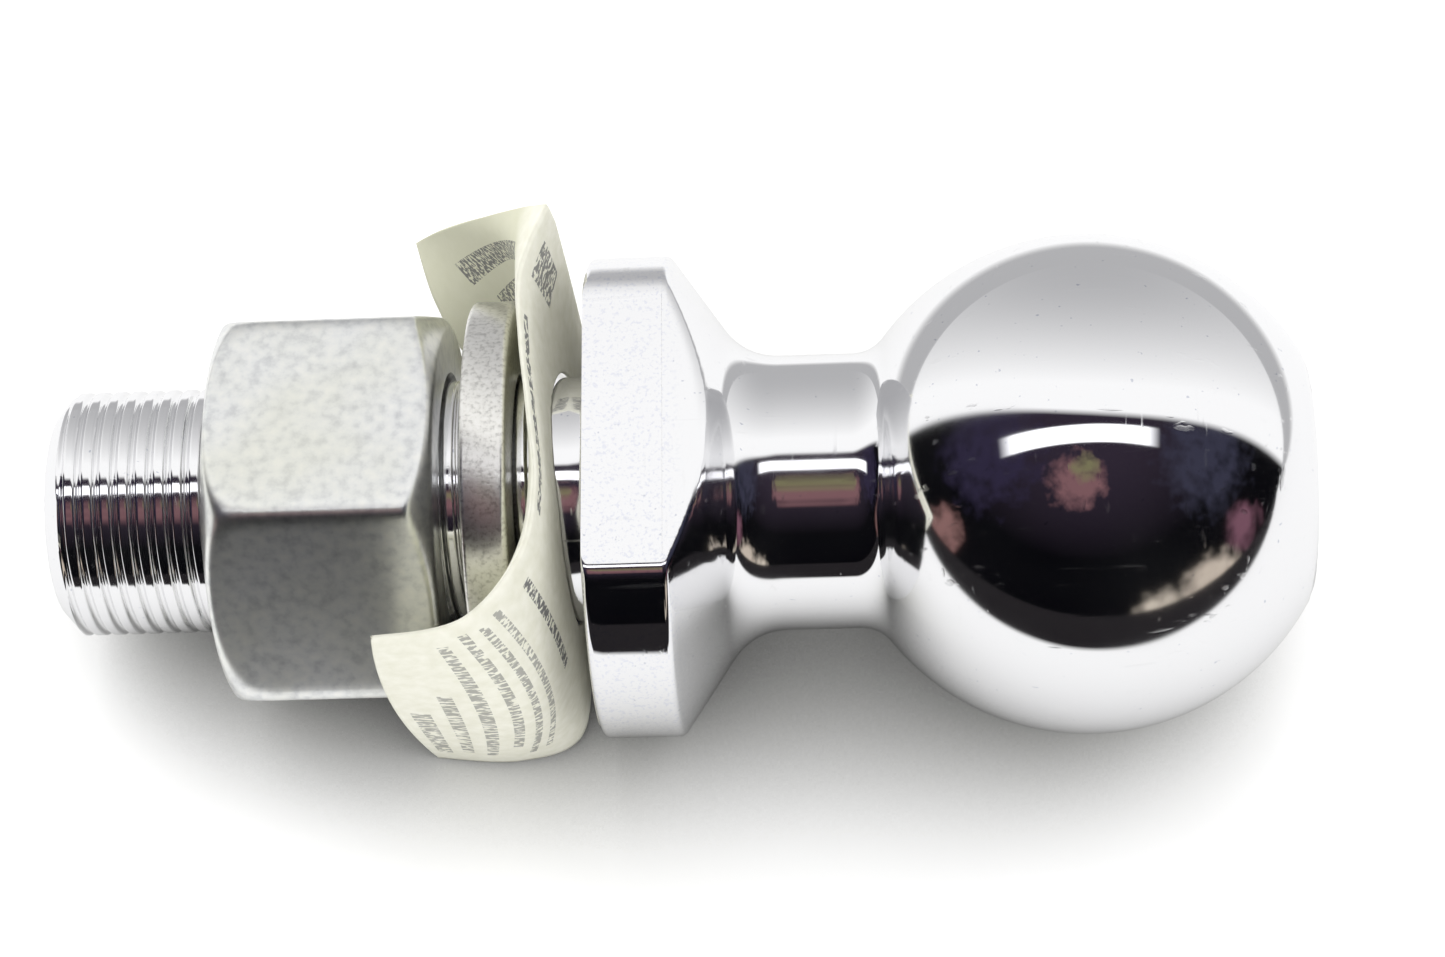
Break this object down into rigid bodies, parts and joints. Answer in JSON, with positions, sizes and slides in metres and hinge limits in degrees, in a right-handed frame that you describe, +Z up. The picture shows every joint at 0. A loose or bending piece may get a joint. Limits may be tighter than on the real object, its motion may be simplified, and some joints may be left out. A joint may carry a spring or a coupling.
{
  "type": "trailer hitch ball",
  "caption": "Trailer hitch ball: chromed ball on a flanged, threaded shank, with a hex nut, split lock washer and folded card tag.",
  "frame": {"origin": "centre of the coupler ball", "axes": "+X along the shank's axis towards the ball's crown, +Z up when the part lies on its side on a bench"},
  "size_m": [0.127, 0.0609, 0.0508],
  "materials": {
    "stud_chrome": "bright chrome plate, lightly scratched",
    "nut_zinc": "dull mottled zinc plate",
    "washer_zinc": "satin zinc plate",
    "tag_card": "uncoated cream card with grey print"
  },
  "bodies": {
    "stud": {"ball_stud": "stud_chrome"},
    "washer": {"lock_washer": "washer_zinc"},
    "nut": {"hex_nut": "nut_zinc"},
    "tag": {"label_tag": "tag_card"}
  },
  "joints": [
    {"name": "washer_slide", "type": "slide", "parent": "stud", "child": "washer", "axis": [1, 0, 0], "range_m": [-0.01455, 0]},
    {"name": "nut_turn", "type": "hinge", "parent": "washer", "child": "nut", "pos_m": [-0.076, 0, 0], "axis": [1, 0, 0], "range_deg": [-2880, 0]},
    {"name": "tag_turn", "type": "hinge", "parent": "stud", "child": "tag", "pos_m": [-0.0546, 0, 0], "axis": [1, 0, 0], "range_deg": [-15, 0]}
  ],
  "couplings": [
    {"joint": "washer_slide", "follows": "nut_turn", "m_per_rad": 0.00028876}
  ]
}
